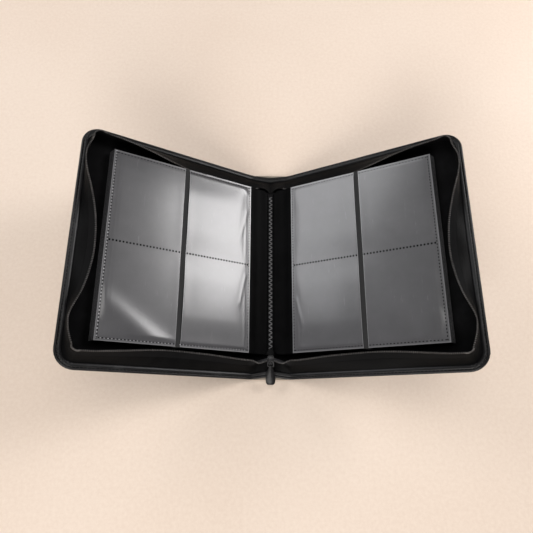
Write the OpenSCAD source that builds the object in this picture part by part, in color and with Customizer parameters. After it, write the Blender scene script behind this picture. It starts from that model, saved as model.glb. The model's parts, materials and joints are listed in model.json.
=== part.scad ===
// Zip-round binder for trading cards, lying open on its spine.
// X runs across the spine, Y along it, Z up. The front cover is on -X, the zip slider on -Y.

/* [Covers] */
// Length of the binder along the spine
cover_h = 244; // [205:1:300]
// Width of a cover, from its hinge axis to its outer edge
cover_w = 200; // [170:1:245]
// Radius of the outer corners of a cover
corner_r = 19; // [14:1:26]
// Angle between each cover and the surface the spine rests on
open_angle = 31; // [25:1:40]

/* [Cover layers] */
// Thickness of the outer leather-look skin
skin_t = 0.9; // [0.6:0.1:1.5]
// Thickness of the padding under the skin
foam_t = 0.8; // [0.5:0.1:1.5]
// Thickness of the stiffening board
board_t = 1.8; // [1.2:0.1:2.4]
// Thickness of the inner lining
lining_t = 0.4; // [0.3:0.1:0.6]
// Width of the rolled piping along the free edges of a cover
piping_w = 2.4; // [1.5:0.1:4]

/* [Spine] */
// Distance between the two hinge axes
hinge_gap = 44; // [36:1:60]
// Width of the soft crease on each side of a hinge axis
crease_w = 4; // [3:0.5:6]

/* [Leaves] */
// Gap left at the outer edge of the top leaf when the binder is closed
fore_gap = 1.05; // [1:0.05:6]
// Room between each end of a leaf and the gusset's foot
head_room = 18.7; // [17:0.1:24]
// Thickness of the black backing sheet
sheet_t = 0.24; // [0.15:0.01:0.4]
// Thickness of the clear film
film_t = 0.12; // [0.08:0.01:0.16]
// Room for cards between film and sheet
pocket_gap = 0.1; // [0.05:0.01:0.12]
// Distance between neighbouring leaves at their roots, both across and up
leaf_pitch = 0.95; // [0.9:0.01:1.14]
// Distance from the fold to the first pocket
inner_margin = 26.5; // [20:0.5:32]
// Width of the bar between the two pocket columns
bar_w = 3.5; // [2.5:0.5:6]
// Width of the welds round the pockets
weld_w = 3; // [2:0.5:5]
// Half of the clear space left for the stitched fold
fold_half_w = 2.6; // [2.4:0.1:3]

/* [Zip gusset] */
// Distance from the edge of a cover to the gusset
gusset_inset = 6.8; // [5:0.1:8]
// Width of the cloth band of the gusset
band_w = 11; // [9:0.5:12]
// Thickness of the cloth band
band_t = 0.8; // [0.5:0.1:1]
// Width of the zip tape beyond the band
tape_w = 5.3; // [4:0.1:6]
// Thickness of the zip tape
tape_t = 0.5; // [0.3:0.1:0.7]
// Width of the row of coil teeth
coil_w = 1.8; // [1.4:0.1:2]
// Thickness of the row of coil teeth
coil_t = 1.5; // [1.2:0.1:1.8]

/* [Slider and pull] */
// Length of the slider body
slider_l = 9.5; // [8:0.5:11]
// Width of the slider body
slider_w = 8.4; // [7:0.1:10.1]
// Length of the pull tab from its pin
tab_l = 20; // [16:1:24]
// Width of the pull tab at its free end
tab_w = 9.2; // [7:0.2:11]
// Thickness of the pull tab
tab_t = 2.2; // [1.6:0.1:2.6]
// Angle at which the pull hangs below the horizontal
pull_angle = 27; // [20:1:32]

/* [Hidden] */
leaf_count = 8;
clear = 0.05;
air = 0.2;
EPS = 0.01;
hinge_x = hinge_gap / 2;
hinge_z = skin_t;
lining_top = foam_t + board_t + lining_t;
spine_half_w = hinge_x - crease_w;
spine_top = skin_t + board_t + lining_t;
panel_inset = piping_w + air;

film_stack = film_t + pocket_gap;
leaf_t = sheet_t + 2 * film_stack;
root_out = fold_half_w + (leaf_count - 1) * leaf_pitch;
root_low = hinge_z + lining_top + leaf_t / 2 + 0.46;
root_high = root_low + (leaf_count - 1) * leaf_pitch;
leaf_l = cover_w + hinge_z - gusset_inset - band_t - root_high - fore_gap;
leaf_h = cover_h - 2 * (gusset_inset + head_room);
leaf_drop = 0.9;
leaf_fan = 0.04;
film_edge = 0.5;
column_w = (leaf_l + fold_half_w - inner_margin - bar_w) / 2;
film_h = leaf_h - 2 * film_edge;

core_air = 0.57;
core_top = root_high - 1.3 * leaf_pitch - 0.515;
core_side = root_out + root_low - core_air;
thread_period = 7.5;
thread_line = 1.1;
thread_t = 0.4;
thread_reach = 1.8;
thread_turns = floor((leaf_h - 6) / thread_period);

gusset_r = corner_r - gusset_inset;
gusset_y = cover_h / 2 - gusset_inset;
gusset_start = crease_w + 1;
run_l = cover_w - gusset_inset - gusset_r - gusset_start;
corner_l = PI / 2 * gusset_r;
fore_l = 2 * (gusset_y - gusset_r);
path_l = 2 * run_l + 2 * corner_l + fore_l;
gusset_lift = lining_top + band_t / 2 + clear;
path_steps = 84;
spine_steps = 24;
ribbon_w = band_w + tape_w + coil_w;
end_gap = 1.2;
full_lean = asin(min(1, (head_room - end_gap) / ribbon_w));
top_lean = 0.82 * full_lean;
top_spine_lean = 0.95 * full_lean;
fore_lean = 0.85 * full_lean;
bottom_lean = 0.77 * full_lean;
bottom_spine_lean = 36;
corner_lean = 4;
stub_w = 12.5;
gusset_end = 0.6;

slider_t = 4;
slider_y = -gusset_y + stub_w * sin(bottom_spine_lean) + slider_l / 2;
slider_z = spine_top + band_t + stub_w * cos(bottom_spine_lean) + 0.4;
plate_t = 1.2;
post_w = 2.2;
post_l = 1.2;
crown_l = 7.3;
crown_h = 3.15;
crown_t = 0.9;
crown_w = 4;
pin_r = 0.7;
pin_y = slider_y - 1.55;
pin_z = slider_z + slider_t + 1.35;
link_l = 5.5;
link_gap = 0.3 * slider_w;
nose_half_w = link_gap - 0.7;
link_arm = 1;
link_t = 1.4;
eye_r = 1.7;
neck_w = 2 * (link_gap - 0.3);
tab_chamfer = 2;
ridge_w = 2.4;
ridge_t = 0.5;

// Leaves are counted from 1 at the cover to leaf_count at the top.
function root_x(n) = fold_half_w + (leaf_count - n) * leaf_pitch;
function root_z(n) = root_low + (n - 1) * leaf_pitch;
function leaf_angle(n) = open_angle - leaf_drop - leaf_fan * (n - 1);

// Height of a surface that follows the spine lining and then climbs onto a cover lining.
climb_x = hinge_x + gusset_start * cos(open_angle) - lining_top * sin(open_angle);
climb_z = hinge_z + gusset_start * sin(open_angle) + lining_top * cos(open_angle) - spine_top;
climb_from = climb_x / 2;
function climb(x) = climb_z * pow(max(0, abs(x) - climb_from) / (climb_x - climb_from), 2);

// The gusset's path on a cover: along the top edge, round a corner, down the outer edge,
// round the other corner and back along the bottom edge. Each gives [s, y, inward s, inward y].
function on_run(u) = [gusset_start + u, gusset_y, 0, -1];
function on_corner(a) = [
  gusset_start + run_l + gusset_r * sin(a), gusset_y - gusset_r + gusset_r * cos(a), -sin(a), -cos(a)
];
function on_fore(u) = [gusset_start + run_l + gusset_r, gusset_y - gusset_r - u, -1, 0];
function flip_y(p) = [p[0], -p[1], p[2], -p[3]];
function path_at(u) =
  u < run_l ? on_run(u)
  : u < run_l + corner_l ? on_corner((u - run_l) / gusset_r * 180 / PI)
  : u < run_l + corner_l + fore_l ? on_fore(u - run_l - corner_l)
  : u < path_l - run_l ? flip_y(on_corner((path_l - run_l - u) / gusset_r * 180 / PI))
  : flip_y(on_run(path_l - u));

// How far the gusset leans inwards there, in degrees: floppy along the straights, upright at the corners.
LEANS = [
  [0, top_lean], [run_l * 0.42, top_lean], [run_l * 0.92, 20],
  [run_l + corner_l, corner_lean], [run_l + corner_l + fore_l * 0.16, corner_lean],
  [run_l + corner_l + fore_l * 0.5, fore_lean],
  [run_l + corner_l + fore_l * 0.86, corner_lean], [path_l - run_l - corner_l, corner_lean],
  [path_l - run_l, 28], [path_l - run_l * 0.8, 30],
  [path_l - run_l * 0.3, bottom_lean], [path_l, bottom_spine_lean]
];

// A point of the leaning cloth: w up from its foot and d through its thickness.
function cloth(p, lean, w, d) = [
  p[0] + p[2] * (w * sin(lean) + d * cos(lean)),
  p[1] + p[3] * (w * sin(lean) + d * cos(lean)),
  gusset_lift + w * cos(lean) - d * sin(lean)
];
function cloth_ring(u, low, high, t) =
  let (p = path_at(u), a = lookup(u, LEANS))
  [cloth(p, a, low, -t / 2), cloth(p, a, low, t / 2), cloth(p, a, high, t / 2), cloth(p, a, high, -t / 2)];

// The same cloth where it crosses the spine, at x, from one cover to the other.
function spine_cloth(x, side, lean, w, d) =
  let (turn = -open_angle * x / climb_x, out = w * cos(lean) - d * sin(lean))
  [
    x + out * sin(turn),
    side * (gusset_y - w * sin(lean) - d * cos(lean)),
    spine_top + climb(x) + band_t / 2 + clear + out * cos(turn)
  ];
function spine_ring(x, side, lean, high) = [
  for (q = [[0, -1], [0, 1], [high, 1], [high, -1]]) spine_cloth(x, side, lean, q[0], q[1] * band_t / 2)
];

// A closed band through a list of four-cornered rings.
module strip(rings) {
  n = len(rings);
  polyhedron(
    points = [for (r = rings) for (p = r) p],
    faces = concat(
      [[0, 1, 2], [0, 2, 3]],
      [
        for (i = [0 : n - 2], k = [0 : 3], h = [0, 1])
          let (a = 4 * i + k, b = 4 * i + (k + 1) % 4)
          h == 0 ? [a, a + 4, b + 4] : [a, b + 4, b]
      ],
      [[4 * n - 2, 4 * n - 3, 4 * n - 4], [4 * n - 1, 4 * n - 2, 4 * n - 4]]
    )
  );
}

// Puts a piece made on the back side, lying flat, onto the back or the front side.
module on_side(side) {
  mirror([side == "front" ? 1 : 0, 0, 0])
    children();
}
module on_cover(side) {
  on_side(side)
    translate([hinge_x, 0, hinge_z])
      rotate([0, -open_angle, 0])
        children();
}
module on_leaf(side, n) {
  on_side(side)
    translate([root_x(n), 0, root_z(n)])
      rotate([0, -leaf_angle(n), 0])
        children();
}

// Outline of a cover from x = start, with its two outer corners rounded.
module cover_outline(start, inset) {
  r = corner_r - inset;
  half = cover_h / 2 - inset;
  translate([start, -half])
    square([cover_w - corner_r - start, 2 * half]);
  translate([cover_w - corner_r - EPS, -(half - r)])
    square([r + EPS, 2 * (half - r)]);
  for (y = [-1, 1])
    translate([cover_w - corner_r, y * (half - r)])
      circle(r = r, $fn = 96);
}
module cover_layer(inset, low, thick) {
  translate([0, 0, low])
    linear_extrude(thick)
      cover_outline(crease_w, inset);
}

module cover_skin(side) {
  color("#1b1b1d")
    on_cover(side)
      cover_layer(0, -skin_t, skin_t);
}
module cover_foam(side) {
  color("#3b3b3f")
    on_cover(side)
      cover_layer(panel_inset, 0, foam_t);
}
module cover_board(side) {
  color("#8c8478")
    on_cover(side)
      cover_layer(panel_inset, foam_t, board_t);
}
module cover_lining(side) {
  color("#131315")
    on_cover(side)
      cover_layer(panel_inset, foam_t + board_t, lining_t);
}
module cover_piping(side) {
  color("#232326")
    on_cover(side)
      linear_extrude(lining_top)
        difference() {
          cover_outline(crease_w, 0);
          cover_outline(0, piping_w);
        }
}
module gusset_ribbon(side, low, high, t) {
  on_cover(side)
    strip([for (i = [0 : path_steps]) cloth_ring(path_l * i / path_steps, low, high, t)]);
}
module gusset_band(side) {
  color("#161618")
    gusset_ribbon(side, 0, band_w, band_t);
}
module zip_tape(side) {
  color("#1d1d20")
    gusset_ribbon(side, band_w + clear, band_w + tape_w, tape_t);
}
module zip_coil(side) {
  color("#5d5a57")
    gusset_ribbon(side, band_w + tape_w + clear, ribbon_w, coil_t);
}

module spine_layer(low, thick) {
  translate([-spine_half_w, -cover_h / 2, low])
    cube([2 * spine_half_w, cover_h, thick]);
}
module spine_skin() {
  color("#1b1b1d")
    spine_layer(0, skin_t);
}
module spine_board() {
  color("#8c8478")
    spine_layer(skin_t, board_t);
}
module spine_lining() {
  color("#131315")
    spine_layer(skin_t + board_t, lining_t);
}

// The crease that lets a cover turn: skin and lining with nothing stiff between them.
module hinge_strip(side) {
  s = crease_w - clear;
  low = clear - skin_t;
  high = skin_t;
  inner = spine_half_w + clear;
  color("#1b1b1d")
    on_side(side)
      rotate([90, 0, 0])
        translate([0, 0, -cover_h / 2])
          linear_extrude(cover_h)
            polygon([
              [inner, clear],
              [hinge_x + s * cos(open_angle) - low * sin(open_angle),
               hinge_z + s * sin(open_angle) + low * cos(open_angle)],
              [hinge_x + s * cos(open_angle) - high * sin(open_angle),
               hinge_z + s * sin(open_angle) + high * cos(open_angle)],
              [inner, 2 * skin_t]
            ]);
}

// The folded roots of the leaves, pressed together over the spine.
module leaf_binding_core() {
  low = spine_top + clear;
  color("#151517")
    rotate([90, 0, 0])
      translate([0, 0, -leaf_h / 2])
        linear_extrude(leaf_h)
          polygon([
            [-(core_side - low), low], [core_side - low, low],
            [core_side - core_top, core_top], [-(core_side - core_top), core_top]
          ]);
}

// A coarse zigzag of thread along the fold.
module binding_thread() {
  half = thread_period / 2;
  steps = 2 * thread_turns;
  line = [for (i = [0 : steps]) [(i % 2 == 0 ? -1 : 1) * thread_reach, (i - steps / 2) * half]];
  color("#6f6f74")
    translate([0, 0, core_top + clear])
      linear_extrude(thread_t)
        polygon(concat(
          [for (p = line) [p[0] + thread_line / 2, p[1]]],
          [for (i = [steps : -1 : 0]) [line[i][0] - thread_line / 2, line[i][1]]]
        ));
}

module spine_gusset(side, lean, high) {
  color("#161618")
    strip([
      for (i = [0 : spine_steps])
        let (f = 1 - 2 * i / spine_steps)
        spine_ring(side * f * (climb_x - gusset_end), side, lean(abs(f)), high)
    ]);
}
module top_gusset() {
  spine_gusset(1, function (f) top_spine_lean + (top_lean - top_spine_lean) * f, ribbon_w);
}
module bottom_gusset() {
  spine_gusset(-1, function (f) bottom_spine_lean, stub_w);
}

// Outline of the slider: broad where the two chains enter, narrow where they leave joined.
module slider_plate() {
  half = slider_w / 2;
  linear_extrude(plate_t)
    polygon([
      [-half, slider_l * 0.15], [-half * 0.72, slider_l / 2], [half * 0.72, slider_l / 2],
      [half, slider_l * 0.15], [nose_half_w, -slider_l / 2], [-nose_half_w, -slider_l / 2]
    ]);
}
module zip_slider() {
  color("#2c2c2f")
    translate([0, slider_y, slider_z]) {
      slider_plate();
      translate([0, 0, slider_t - plate_t])
        slider_plate();
      translate([-post_w / 2, slider_l * 0.2, plate_t - EPS])
        cube([post_w, slider_l * 0.2, slider_t - 2 * plate_t + 2 * EPS]);
      for (y = [-crown_l / 2, crown_l / 2 - post_l])
        translate([-post_w / 2, y, slider_t - EPS])
          cube([post_w, post_l, crown_h - crown_t + 2 * EPS]);
      translate([0, 0, slider_t + crown_h - crown_t])
        linear_extrude(crown_t)
          polygon([
            [-post_w / 2, -crown_l / 2], [post_w / 2, -crown_l / 2], [crown_w / 2, 0],
            [post_w / 2, crown_l / 2], [-post_w / 2, crown_l / 2], [-crown_w / 2, 0]
          ]);
    }
}

// Puts a piece made along -Y from the slider's pin at the pull's hanging angle.
module on_pull() {
  translate([0, pin_y, pin_z])
    rotate([pull_angle, 0, 0])
      children();
}
module cross_pin(y, r, half) {
  translate([-half, y, 0])
    rotate([0, 90, 0])
      cylinder(r = r, h = 2 * half, $fn = 48);
}
module pull_link() {
  color("#2c2c2f")
    on_pull() {
      for (x = [-1, 1])
        translate([x * (link_gap + link_arm / 2) - link_arm / 2, -link_l - link_t / 2, -link_t / 2])
          cube([link_arm, link_l + link_t, link_t]);
      for (y = [0, -link_l])
        cross_pin(y, pin_r, link_gap + link_arm / 2);
    }
}
module pull_tab() {
  neck = neck_w / 2;
  half = tab_w / 2;
  color("#262629")
    on_pull()
      translate([0, -link_l, 0])
        difference() {
          union() {
            cross_pin(0, eye_r, neck);
            translate([0, 0, -tab_t / 2])
              linear_extrude(tab_t)
                polygon([
                  [-neck, 0], [-neck, -3], [-half, -tab_l * 0.72], [-half, -tab_l + tab_chamfer],
                  [-half + tab_chamfer, -tab_l], [half - tab_chamfer, -tab_l],
                  [half, -tab_l + tab_chamfer], [half, -tab_l * 0.72], [neck, -3], [neck, 0]
                ]);
            translate([0, 0, tab_t / 2 - EPS])
              linear_extrude(ridge_t)
                polygon([
                  [-ridge_w / 4, -eye_r - 1.5], [-ridge_w / 2, -tab_l + tab_chamfer],
                  [ridge_w / 2, -tab_l + tab_chamfer], [ridge_w / 4, -eye_r - 1.5]
                ]);
          }
          cross_pin(0, pin_r + 0.08, neck + 1);
        }
}

module leaf_sheet(side, n) {
  color("#1a1a1c")
    on_leaf(side, n)
      translate([0, -leaf_h / 2, -sheet_t / 2])
        cube([leaf_l, leaf_h, sheet_t]);
}

// One column of two pockets: film welded round its rim and across its middle, open at the bar.
module film_column() {
  pocket_h = (film_h - 3 * weld_w) / 2;
  difference() {
    translate([0, -film_h / 2, 0])
      cube([column_w, film_h, film_stack]);
    for (y = [-1, 1])
      translate([weld_w, y * (pocket_h + weld_w) / 2 - pocket_h / 2, -EPS])
        cube([column_w, pocket_h, pocket_gap + EPS]);
  }
}
module leaf_film(side, n) {
  inner = inner_margin - fold_half_w;
  color("#8e8e94", 0.5)
    on_leaf(side, n)
      for (face = [0, 1])
        mirror([0, 0, face])
          translate([0, 0, sheet_t / 2]) {
            translate([inner, 0, 0])
              film_column();
            translate([inner + 2 * column_w + bar_w, 0, 0])
              mirror([1, 0, 0])
                film_column();
          }
}

spine_skin();
spine_board();
spine_lining();
leaf_binding_core();
binding_thread();
top_gusset();
bottom_gusset();
zip_slider();
pull_link();
pull_tab();
for (side = ["front", "back"]) {
  hinge_strip(side);
  cover_skin(side);
  cover_foam(side);
  cover_board(side);
  cover_lining(side);
  cover_piping(side);
  gusset_band(side);
  zip_tape(side);
  zip_coil(side);
  for (n = [1 : leaf_count]) {
    leaf_sheet(side, n);
    leaf_film(side, n);
  }
}
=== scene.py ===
import json
import math

import bmesh
import bpy
from mathutils import Matrix, Vector, noise


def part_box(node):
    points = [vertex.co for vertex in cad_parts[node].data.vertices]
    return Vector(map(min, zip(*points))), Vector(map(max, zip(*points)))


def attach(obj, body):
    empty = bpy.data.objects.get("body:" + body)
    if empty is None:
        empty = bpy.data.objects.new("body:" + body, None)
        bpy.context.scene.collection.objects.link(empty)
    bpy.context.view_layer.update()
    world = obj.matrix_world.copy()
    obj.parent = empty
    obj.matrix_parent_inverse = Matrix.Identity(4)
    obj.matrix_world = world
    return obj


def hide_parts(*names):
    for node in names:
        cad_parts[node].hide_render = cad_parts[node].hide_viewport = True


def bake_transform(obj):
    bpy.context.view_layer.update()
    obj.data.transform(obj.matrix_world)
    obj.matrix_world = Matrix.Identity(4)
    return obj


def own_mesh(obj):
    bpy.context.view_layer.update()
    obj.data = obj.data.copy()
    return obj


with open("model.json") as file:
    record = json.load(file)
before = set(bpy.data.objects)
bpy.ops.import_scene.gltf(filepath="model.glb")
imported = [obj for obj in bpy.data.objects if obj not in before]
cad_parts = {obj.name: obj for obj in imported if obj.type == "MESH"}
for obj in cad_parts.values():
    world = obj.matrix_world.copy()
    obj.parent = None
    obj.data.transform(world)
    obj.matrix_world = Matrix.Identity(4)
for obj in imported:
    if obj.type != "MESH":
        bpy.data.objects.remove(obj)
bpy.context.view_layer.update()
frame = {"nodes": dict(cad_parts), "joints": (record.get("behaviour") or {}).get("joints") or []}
print("frame loaded with", len(frame["nodes"]), "nodes")

mm = 0.001
sides = {"front": -1, "back": 1}
joints = {joint["name"]: joint for joint in frame["joints"]}


def boxSize(node):
    low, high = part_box(node)
    return high - low


hinge = joints["back_cover_hinge"]
hingeX, hingeZ = hinge["pos_m"][0], hinge["pos_m"][2]
openAngle = math.radians(-hinge["range_deg"][0])
coverH = boxSize("back_cover_skin").y
skinT = boxSize("spine_skin").z
spineHalf = boxSize("spine_skin").x / 2
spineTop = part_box("spine_lining")[1].z
creaseW = hingeX - spineHalf
coverW = (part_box("back_cover_skin")[1].x - hingeX - skinT * math.sin(openAngle)) / math.cos(openAngle)
bendR = creaseW / math.tan(openAngle / 2)
bendL = bendR * openAngle
shellEnd = spineHalf + bendL + coverW - creaseW

binder = {
    "cornerR": 19 * mm,
    "liningTop": 3 * mm,
    "gussetInset": 6.8 * mm,
    "gussetLift": 3.2 * mm,
}


def shellPoint(side, q, y, t):
    # q runs out from the middle of the spine, over the crease and on to the cover's edge
    if q <= spineHalf:
        x, z = q, hingeZ + t
    elif q <= spineHalf + bendL:
        a = (q - spineHalf) / bendR
        x = spineHalf + (bendR - t) * math.sin(a)
        z = hingeZ + bendR - (bendR - t) * math.cos(a)
    else:
        s = creaseW + q - spineHalf - bendL
        x = hingeX + s * math.cos(openAngle) - t * math.sin(openAngle)
        z = hingeZ + s * math.sin(openAngle) + t * math.cos(openAngle)
    return Vector((sides[side] * x, y, z))


def smooth(x):
    x = max(0.0, min(1.0, x))
    return x * x * (3 - 2 * x)


def between(x, keys):
    # a smooth curve through a list of (place, value) keys
    if x <= keys[0][0]:
        return keys[0][1]
    if x >= keys[-1][0]:
        return keys[-1][1]
    i = max(k for k in range(len(keys) - 1) if keys[k][0] <= x)

    def slope(k):
        if k in (0, len(keys) - 1):
            return 0.0
        return (keys[k + 1][1] - keys[k - 1][1]) / (keys[k + 1][0] - keys[k - 1][0])

    (a, va), (b, vb) = keys[i], keys[i + 1]
    f, span = (x - a) / (b - a), b - a
    curve = va * (1 - smooth(f)) + vb * smooth(f)
    return curve + span * f * (1 - f) * ((1 - f) * slope(i) - f * slope(i + 1))


def bell(x, middle, width):
    return math.exp(-((x - middle) / width) ** 2)


class Wire:
    # one output socket, so that maths on it reads as plain Python
    def __init__(self, paint, socket):
        self.paint, self.socket = paint, socket

    def maths(self, operation, *others):
        return self.paint.node("ShaderNodeMath", {"operation": operation}, dict(enumerate((self, *others))))

    def __add__(self, other):
        return self.maths("ADD", other)

    def __sub__(self, other):
        return self.maths("SUBTRACT", other)

    def __mul__(self, other):
        return self.maths("MULTIPLY", other)

    def __rsub__(self, other):
        return self.paint.node("ShaderNodeMath", {"operation": "SUBTRACT"}, {0: other, 1: self})

    __radd__, __rmul__ = __add__, __mul__

    def least(self, other):
        return self.maths("MINIMUM", other)

    def size(self):
        return self.maths("ABSOLUTE")

    def wave(self):
        return self.maths("SINE")

    def step(self, low, high):
        # 0 below low and 1 above high, eased between them; low may be above high
        settings = {"interpolation_type": "SMOOTHSTEP"}
        values = {"Value": self, "From Min": low, "From Max": high}
        if low > high:
            values.update({"From Min": high, "From Max": low, "To Min": 1.0, "To Max": 0.0})
        return self.paint.node("ShaderNodeMapRange", settings, values)


class Paint:
    # one material and the nodes in it
    def __init__(self, name, **constants):
        self.material = bpy.data.materials.new(name)
        self.material.use_nodes = True
        self.tree = self.material.node_tree
        self.shader = self.tree.nodes["Principled BSDF"]
        for socket, value in constants.items():
            self.shader.inputs[socket.replace("_", " ")].default_value = value

    def node(self, kind, settings=None, values=None, out=0):
        made = self.tree.nodes.new(kind)
        for key, value in (settings or {}).items():
            setattr(made, key, value)
        for key, value in (values or {}).items():
            if isinstance(value, Wire):
                self.tree.links.new(value.socket, made.inputs[key])
            else:
                made.inputs[key].default_value = value
        return Wire(self, made.outputs[out])

    def feed(self, socket, wire):
        self.tree.links.new(wire.socket, self.shader.inputs[socket])

    def place(self):
        return self.node("ShaderNodeTexCoord", out="Object")

    def uv(self, axis):
        across = self.node("ShaderNodeTexCoord", out="UV")
        return self.node("ShaderNodeSeparateXYZ", None, {0: across}, out=axis)

    def stretched(self, where, x, y, z):
        return self.node("ShaderNodeVectorMath", {"operation": "MULTIPLY"}, {0: where, 1: (x, y, z)})

    def speckle(self, where, scale, detail=3.0, rough=0.55):
        values = {"Vector": where, "Scale": scale, "Detail": detail, "Roughness": rough}
        return self.node("ShaderNodeTexNoise", {}, values)

    def cells(self, where, scale, feature="F1"):
        return self.node("ShaderNodeTexVoronoi", {"feature": feature}, {"Vector": where, "Scale": scale})

    def blendColour(self, share, low, high):
        values = {0: share, 6: low, 7: high}
        return self.node("ShaderNodeMix", {"data_type": "RGBA"}, values, out=2)

    def bumps(self, height, strength, distance):
        values = {"Height": height, "Strength": strength, "Distance": distance}
        self.feed("Normal", self.node("ShaderNodeBump", {}, values))
        return self.material


def grey(level, tint=1.0):
    return (level, level, level * tint, 1.0)


def leatherPaint():
    p = Paint("blackLeather", IOR=1.38, Coat_Weight=0.08, Coat_Roughness=0.3)
    at = p.place()
    pebbles = p.cells(at, 1150).step(0.0, 0.75)
    creases = p.speckle(at, 420, 4.0, 0.6)
    broad = p.speckle(at, 22, 3.0)
    p.feed("Base Color", p.blendColour(broad.step(0.3, 0.75), grey(0.0045, 1.1), grey(0.011, 1.12)))
    p.feed("Roughness", 0.36 + creases * 0.16 + broad * 0.1)
    return p.bumps(pebbles * 0.7 + creases * 0.5, 0.42, 0.00022)


def edgePaint():
    p = Paint("rolledEdge", IOR=1.34, Coat_Weight=0.1, Coat_Roughness=0.28)
    at = p.place()
    creases = p.speckle(at, 520, 4.0, 0.6)
    worn = p.speckle(at, 60, 4.0, 0.65)
    p.feed("Base Color", p.blendColour(worn.step(0.52, 0.74), grey(0.006, 1.1), grey(0.022, 1.08)))
    p.feed("Roughness", 0.3 + creases * 0.14 + worn * 0.12)
    return p.bumps(creases + p.cells(at, 1300) * 0.5, 0.35, 0.00016)


def liningPaint():
    p = Paint("innerLining", IOR=1.13, Sheen_Weight=0.01, Sheen_Roughness=0.5)
    at = p.place()
    warp = (p.uv(0) * 7800).wave() * 0.5
    weft = (p.uv(1) * 7800).wave() * 0.5
    dust = p.speckle(at, 70, 4.0, 0.6)
    p.feed("Base Color", p.blendColour(dust.step(0.35, 0.8), grey(0.0028, 1.1), grey(0.006, 1.1)))
    p.feed("Roughness", 0.62 + dust * 0.2)
    return p.bumps(warp + weft + dust, 0.25, 0.00012)


def gussetPaint():
    # satin cloth, with the woven zip tape along its free edge; U runs along and V up, in metres
    p = Paint("gussetCloth", IOR=1.14, Sheen_Weight=0.006, Sheen_Roughness=0.4)
    at, along, up = p.place(), p.uv(0), p.uv(1)
    tape = up.step(10.6 * mm, 11.0 * mm)
    twill = ((along + up * 0.6) * 9000).wave() * 0.5 + 0.5
    ribs = (up * 6900).wave() * 0.5 + 0.5
    knots = (along * 5200).wave() * 0.5 + 0.5
    streaks = p.speckle(p.stretched(at, 0.25, 0.25, 1.0), 160, 4.0, 0.6)
    seam = softLine(up, 10.8 * mm, 0.5 * mm)
    # the tape beside the slider is painted pale: a painted highlight where its folded wing catches the
    # light
    x = p.node("ShaderNodeSeparateXYZ", None, {0: at}, out=0).size().step(26 * mm, 4 * mm)
    y = p.node("ShaderNodeSeparateXYZ", None, {0: at}, out=1).step(-80 * mm, -95 * mm)
    wearAndSheen = x * y * up.step(8 * mm, 12 * mm)
    cloth = p.blendColour(tape * 0.45 + streaks * 0.5, grey(0.0014, 1.06), grey(0.0075, 1.04))
    p.feed("Base Color", p.blendColour(wearAndSheen, cloth, grey(0.045, 1.06)))
    p.feed("Roughness", 0.38 + streaks * 0.2 + tape * 0.14)
    weave = twill * (1 - tape) * 0.5 + (ribs * 0.7 + knots * 0.5) * tape
    return p.bumps(weave + streaks * 0.8 - seam * 1.6, 0.4, 0.00018)


def softLine(wire, middle, width):
    # 1 on the middle, fading to 0 at that width to each side
    return (wire - middle).size().step(width, 0.0)


def coilPaint():
    p = Paint("zipCoil", IOR=1.5)
    at = p.place()
    worn = p.speckle(at, 300, 3.0)
    p.feed("Base Color", p.blendColour(worn.step(0.3, 0.7), (0.04, 0.038, 0.037, 1), (0.11, 0.103, 0.1, 1)))
    p.feed("Roughness", 0.3 + worn * 0.2)
    return p.bumps(worn, 0.2, 0.0001)


# the bar between a leaf's two columns: its middle, out from the root, and where its sheen fades
barMiddle, barSheen, barFade = 102.6 * mm, 2.4 * mm, 3.0 * mm


def sheetPaint():
    p = Paint("leafBacking", IOR=1.09)
    at = p.place()
    grain = p.speckle(at, 1500, 2.0)
    haze = p.speckle(at, 30, 4.0, 0.6)
    # the pressed bar between the columns is painted paler: a painted sheen
    bar = (p.uv(0) - barMiddle).size().step(barFade, barSheen)
    plain = p.blendColour(haze.step(0.35, 0.75), grey(0.0014, 1.1), grey(0.0032, 1.08))
    p.feed("Base Color", p.blendColour(bar, plain, grey(0.034, 1.02)))
    p.feed("Roughness", 0.36 + haze * 0.16)
    return p.bumps(grain + haze * 2, 0.1, 0.0001)


def filmPaint():
    # hazy clear film over black; U runs out from the spine and V along it, in metres
    p = Paint("pocketFilm", IOR=1.6, Coat_Weight=1.0, Coat_Roughness=0.19, Alpha=0.93)
    at = p.place()
    haze = p.speckle(at, 14, 5.0, 0.6)
    fine = p.speckle(at, 900, 2.0)
    scuffs = p.speckle(p.stretched(at, 1.0, 0.12, 1.0), 420, 3.0, 0.7).step(0.62, 0.8)
    # the film's cut edges are painted pale grey as a highlight; scuffs add a little of the same grey
    edge = p.node("ShaderNodeAttribute", {"attribute_name": "cutEdge"}, out="Fac")
    clear = p.blendColour(haze.step(0.3, 0.75), (0.05, 0.05, 0.054, 1), (0.074, 0.073, 0.079, 1))
    p.feed("Base Color", p.blendColour((edge + scuffs * 0.12).least(1.0), clear, (0.42, 0.42, 0.44, 1)))
    p.feed("Roughness", 0.34 + haze * 0.1 + scuffs * 0.08)
    return p.bumps(fine + haze * 3, 0.06, 0.0001)


def weldPaint():
    p = Paint("weldDash", IOR=1.08)
    at = p.place()
    uneven = p.speckle(at, 200, 3.0)
    p.feed("Base Color", p.blendColour(uneven.step(0.3, 0.7), grey(0.003, 1.1), grey(0.01, 1.1)))
    p.feed("Roughness", 0.5 + uneven * 0.2)
    return p.bumps(uneven, 0.1, 0.0001)


def glintBeadPaint():
    # the clear film heaped up beside a weld mark, painted pale as a highlight
    p = Paint("weldBead", IOR=1.5, Coat_Weight=0.5, Coat_Roughness=0.2)
    uneven = p.speckle(p.place(), 260, 3.0)
    p.feed("Base Color", p.blendColour(uneven.step(0.3, 0.7), grey(0.2, 1.05), grey(0.42, 1.05)))
    p.feed("Roughness", 0.3 + uneven * 0.2)
    return p.bumps(uneven, 0.1, 0.0001)


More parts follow.
